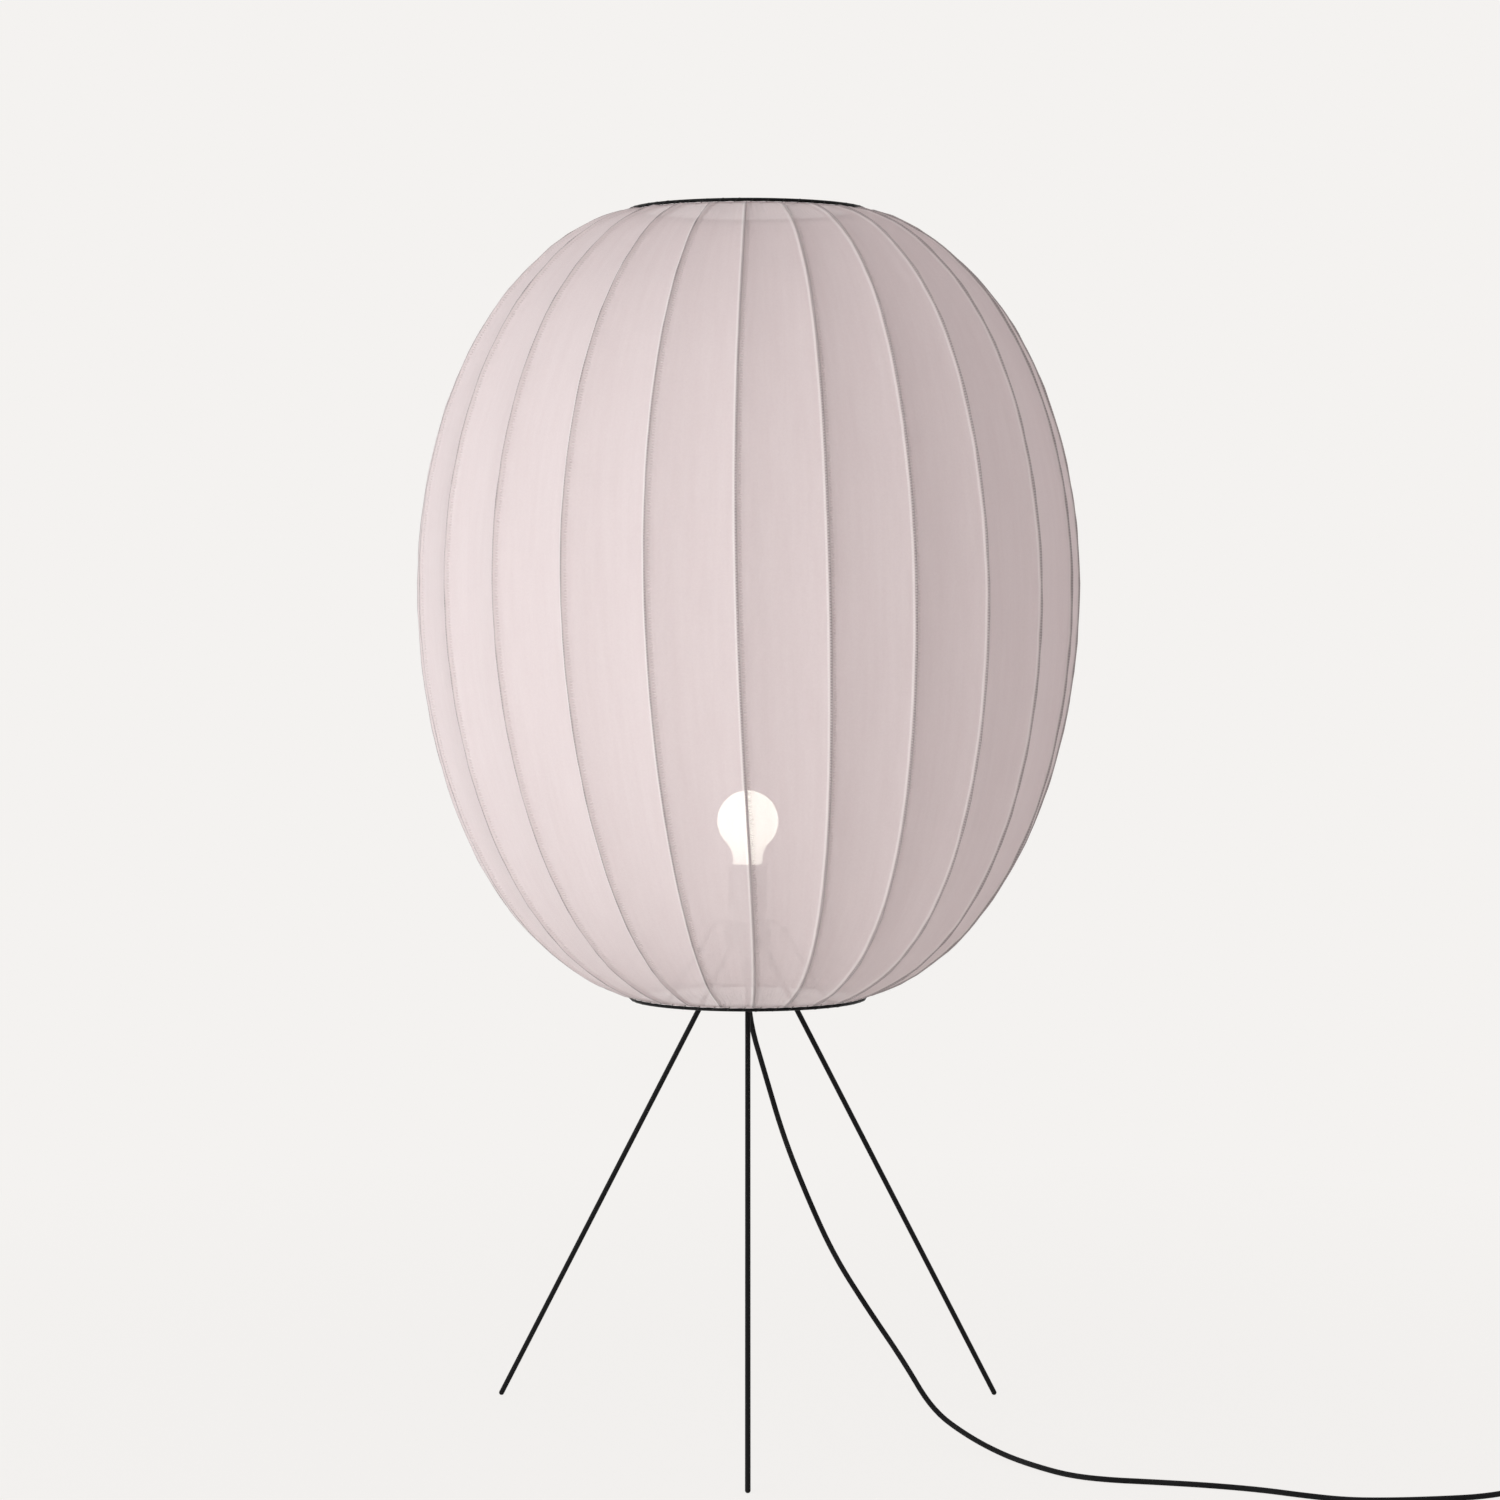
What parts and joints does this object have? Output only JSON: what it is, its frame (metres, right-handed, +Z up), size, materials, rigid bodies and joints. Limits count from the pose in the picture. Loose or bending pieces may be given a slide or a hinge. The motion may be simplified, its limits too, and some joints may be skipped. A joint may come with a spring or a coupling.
{
  "type": "floor lamp",
  "caption": "Floor lamp with a knitted barrel shade stretched over thin ribs, on three slanting rod legs, with a corded foot switch.",
  "frame": {"origin": "on the floor, under the axis of the shade, midway between the three feet", "axes": "+Z up along the shade's axis; one leg points to -Y, towards the picture's camera; +X to the right"},
  "size_m": [1.2305, 0.6599, 1.1968],
  "materials": {
    "knit": "fine pale pink stretch knit",
    "rib_rod": "thin pale sprung rods",
    "ring_wire": "black coated wire",
    "black_steel": "satin black powder coat",
    "plated_steel": "zinc plated",
    "black_plastic": "moulded, fine matt grain",
    "ceramic": "glazed porcelain",
    "brass": "plain brass",
    "nickel": "nickel plated",
    "frosted_glass": "frosted, lit warm white",
    "clear_glass": "clear",
    "filament": "coated filament rods",
    "cord_cover": "black cord cover",
    "core_insulation": "insulated cores",
    "rubber": "soft pads",
    "tie_band": "soft band"
  },
  "bodies": {
    "root": {"bottom_ring": "ring_wire", "bulb_cap": "nickel", "bulb_glass": "frosted_glass", "bulb_insulator": "clear_glass", "bulb_pip": "brass", "bulb_stem": "clear_glass", "button_spring": "plated_steel", "clamp_nut": "plated_steel", "coil_tie": "tie_band", "contact_spring": "brass", "cord": "cord_cover", "cord_coil": "cord_cover", "cord_grip": "black_plastic", "core_wires": "core_insulation", "filament_frame": "plated_steel", "filaments": "filament", "foot_switch_base": "black_plastic", "foot_switch_cover": "black_plastic", "foot_switch_feet": "rubber", "foot_switch_screws": "plated_steel", "holder_body": "black_plastic", "holder_cap": "black_plastic", "holder_insulator": "ceramic", "inner_cord": "cord_cover", "leg_front": "black_steel", "leg_hub": "black_steel", "leg_left": "black_steel", "leg_right": "black_steel", "leg_set_screws": "plated_steel", "pin_sleeves": "black_plastic", "plug_body": "black_plastic", "plug_pins": "nickel", "shade_cover": "knit", "shade_ribs_01": "rib_rod", "shade_ribs_02": "rib_rod", "shade_ribs_03": "rib_rod", "shade_ribs_04": "rib_rod", "shade_ribs_05": "rib_rod", "shade_ribs_06": "rib_rod", "shade_ribs_07": "rib_rod", "shade_ribs_08": "rib_rod", "shade_ribs_09": "rib_rod", "shade_ribs_10": "rib_rod", "shade_ribs_11": "rib_rod", "shade_ribs_12": "rib_rod", "spider_arm_1": "black_steel", "spider_arm_2": "black_steel", "spider_arm_3": "black_steel", "spider_plate": "black_steel", "switch_reliefs": "black_plastic", "switch_terminals": "brass", "switch_wires": "core_insulation", "terminal_screws": "plated_steel", "thread_sleeve": "brass", "threaded_tube": "plated_steel", "top_ring": "ring_wire"},
    "button": {"foot_switch_button": "black_plastic", "contact_bridge": "brass"}
  },
  "joints": [
    {"name": "button_press", "type": "slide", "parent": "root", "child": "button", "axis": [0, 0, -1], "range_m": [0, 0.003], "stiffness_N_per_m": 800, "springref_m": -0.002, "deforming": ["button_spring"]}
  ]
}
